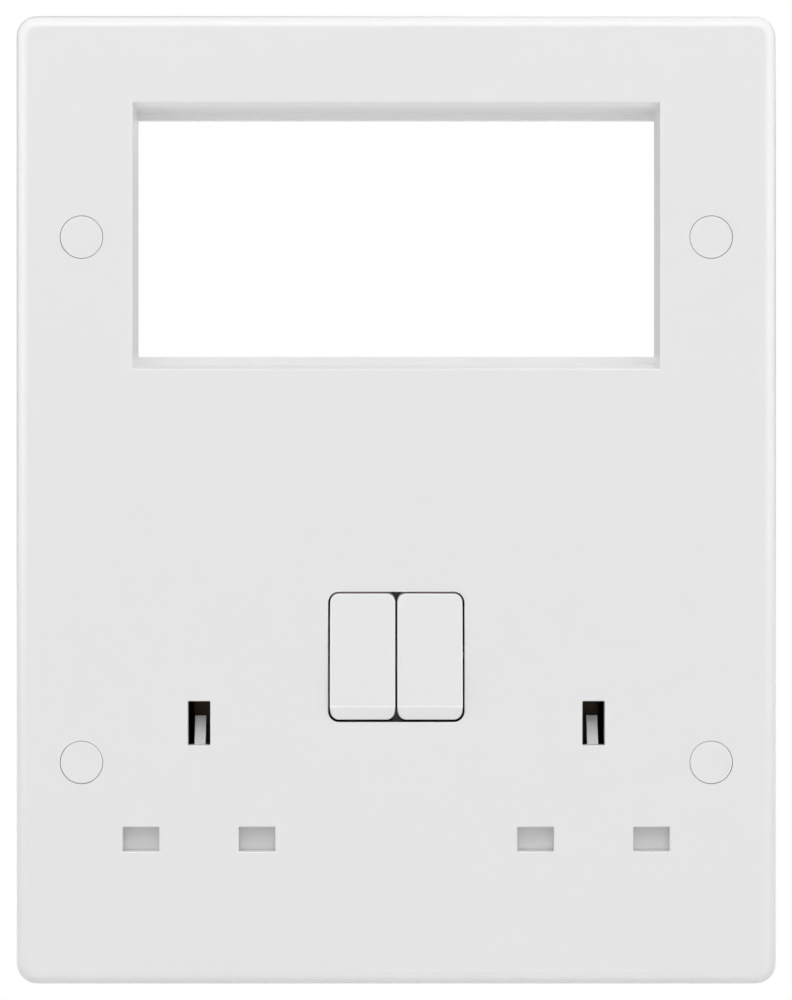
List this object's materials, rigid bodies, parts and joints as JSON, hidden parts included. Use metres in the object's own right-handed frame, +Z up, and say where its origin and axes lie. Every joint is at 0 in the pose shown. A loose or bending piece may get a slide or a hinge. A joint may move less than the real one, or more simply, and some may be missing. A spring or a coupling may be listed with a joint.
{
  "type": "twin switched socket with module window",
  "caption": "Tall white wall plate with a switched twin outlet for British plugs below a wide window for snap-in data modules, with shutters, rockers, contacts and a rear housing.",
  "frame": {"origin": "centre of the four fixing screws, in the wall plane at the plate's back rim", "axes": "+X to the right seen from the front, +Y into the wall, +Z up"},
  "size_m": [0.146, 0.0318, 0.186],
  "materials": {
    "plate_white": "gloss moulded white",
    "rocker_white": "gloss moulded white",
    "housing_black": "satin moulded black",
    "shutter_grey": "matt light grey",
    "guide_grey": "matt moulded",
    "plated_steel": "bright plated",
    "spring_steel": "drawn wire",
    "brass": "bright stamped",
    "contact_silver": "bright"
  },
  "bodies": {
    "plate": {"front_plate": "plate_white", "rear_housing": "housing_black", "fixing_screws": "plated_steel", "cover_screws": "plated_steel", "line_busbar": "brass", "neutral_bar": "brass", "earth_strap": "brass", "screw_cap_upper_left": "plate_white", "screw_cap_upper_right": "plate_white", "screw_cap_lower_left": "plate_white", "screw_cap_lower_right": "plate_white", "earth_left_terminal": "brass", "earth_left_screw": "plated_steel", "neutral_terminal": "brass", "neutral_screw": "plated_steel", "line_terminal": "brass", "line_screw": "plated_steel", "earth_right_terminal": "brass", "earth_right_screw": "plated_steel", "fixed_tip_left": "contact_silver", "line_contact_left": "brass", "shutter_spring_left": "spring_steel", "fixed_tip_right": "contact_silver", "line_contact_right": "brass", "shutter_spring_right": "spring_steel"},
    "rocker_left": {"rocker_left": "rocker_white", "plunger_spring_left": "spring_steel"},
    "plunger_left": {"plunger_left": "guide_grey"},
    "seesaw_left": {"seesaw_contact_left": "brass", "moving_tip_left": "contact_silver"},
    "shutter_left": {"shutter_left": "shutter_grey"},
    "rocker_right": {"rocker_right": "rocker_white", "plunger_spring_right": "spring_steel"},
    "plunger_right": {"plunger_right": "guide_grey"},
    "seesaw_right": {"seesaw_contact_right": "brass", "moving_tip_right": "contact_silver"},
    "shutter_right": {"shutter_right": "shutter_grey"}
  },
  "joints": [
    {"name": "rocker_left_tilt", "type": "hinge", "parent": "plate", "child": "rocker_left", "pos_m": [-0.00645, -0.005, -0.0301], "axis": [1, 0, 0], "range_deg": [0, 12]},
    {"name": "plunger_left_press", "type": "slide", "parent": "rocker_left", "child": "plunger_left", "axis": [0, -0.9945, 0.1045], "range_m": [0, 0.001], "stiffness_N_per_m": 1500, "springref_m": -0.002, "deforming": ["plunger_spring_left"]},
    {"name": "seesaw_left_rock", "type": "hinge", "parent": "plate", "child": "seesaw_left", "pos_m": [-0.00645, 0.0076, -0.0301], "axis": [1, 0, 0], "range_deg": [-12, 0]},
    {"name": "shutter_left_drop", "type": "slide", "parent": "plate", "child": "shutter_left", "axis": [0, 0, -1], "range_m": [0, 0.006], "stiffness_N_per_m": 100, "springref_m": -0.004, "deforming": ["shutter_spring_left"]},
    {"name": "rocker_right_tilt", "type": "hinge", "parent": "plate", "child": "rocker_right", "pos_m": [0.00645, -0.005, -0.0301], "axis": [1, 0, 0], "range_deg": [0, 12]},
    {"name": "plunger_right_press", "type": "slide", "parent": "rocker_right", "child": "plunger_right", "axis": [0, -0.9945, 0.1045], "range_m": [0, 0.001], "stiffness_N_per_m": 1500, "springref_m": -0.002, "deforming": ["plunger_spring_right"]},
    {"name": "seesaw_right_rock", "type": "hinge", "parent": "plate", "child": "seesaw_right", "pos_m": [0.00645, 0.0076, -0.0301], "axis": [1, 0, 0], "range_deg": [-12, 0]},
    {"name": "shutter_right_drop", "type": "slide", "parent": "plate", "child": "shutter_right", "axis": [0, 0, -1], "range_m": [0, 0.006], "stiffness_N_per_m": 100, "springref_m": -0.004, "deforming": ["shutter_spring_right"]}
  ],
  "couplings": [
    {"joint": "seesaw_left_rock", "follows": "rocker_left_tilt", "ratio": -1},
    {"joint": "seesaw_right_rock", "follows": "rocker_right_tilt", "ratio": -1}
  ]
}
